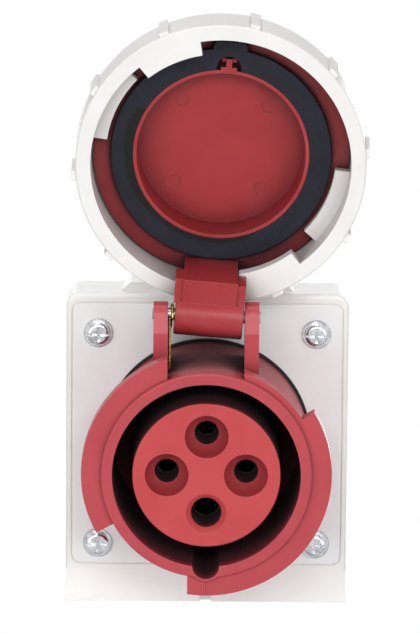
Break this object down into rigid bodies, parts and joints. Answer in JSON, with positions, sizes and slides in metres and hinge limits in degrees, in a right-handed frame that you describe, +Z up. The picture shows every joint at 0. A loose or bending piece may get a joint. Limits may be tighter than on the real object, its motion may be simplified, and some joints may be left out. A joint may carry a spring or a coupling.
{
  "type": "industrial socket",
  "caption": "Wall-mounted industrial pin-and-sleeve socket: sloping white box, red keyed socket with earth at the key, hinged sealed lid and bayonet lock ring.",
  "frame": {"origin": "centre of the box's back face, on the wall", "axes": "+Y into the wall, so the front looks along -Y; +Z up; +X to the right seen from the front"},
  "size_m": [0.0964, 0.1007, 0.192],
  "materials": {
    "box_white": "fine moulded satin",
    "plate_white": "fine moulded satin",
    "ring_white": "smooth moulded satin",
    "shell_red": "moulded satin",
    "insert_red": "moulded, dull",
    "lid_red": "moulded satin",
    "back_plastic": "moulded, dull",
    "gasket_black": "smooth rubber",
    "seal_black": "smooth rubber",
    "screw_steel": "zinc plated, bright",
    "pin_steel": "drawn steel",
    "contact_metal": "nickel-plated brass, turned",
    "spring_brass": "passivated wire"
  },
  "bodies": {
    "base": {"wall_box": "box_white", "box_seal": "seal_black", "front_plate": "plate_white", "plate_screw_top_left": "screw_steel", "plate_screw_top_right": "screw_steel", "plate_screw_bottom_left": "screw_steel", "plate_screw_bottom_right": "screw_steel", "screw_washers": "screw_steel", "socket_body": "shell_red", "body_seal": "seal_black", "body_lock_nut": "back_plastic", "contact_insert": "insert_red", "contact_l1": "contact_metal", "contact_l2": "contact_metal", "contact_l3": "contact_metal", "contact_earth": "contact_metal", "terminal_screws": "screw_steel", "insert_back_plate": "back_plastic", "back_plate_screw": "screw_steel", "insert_screws": "screw_steel", "hinge_pin": "pin_steel", "hinge_spring": "spring_brass"},
    "lid": {"lid": "lid_red", "lid_gasket": "gasket_black"},
    "ring": {"lock_ring": "ring_white"}
  },
  "joints": [
    {"name": "lid_hinge", "type": "hinge", "parent": "base", "child": "lid", "pos_m": [0, -0.0831, 0.04543], "axis": [0.9992, 0.0068, -0.0387], "range_deg": [0, 175]},
    {"name": "ring_turn", "type": "hinge", "parent": "lid", "child": "ring", "pos_m": [0.00381, -0.07838, 0.09613], "axis": [-0.0034, -0.9659, -0.2588], "range_deg": [0, 48]}
  ]
}
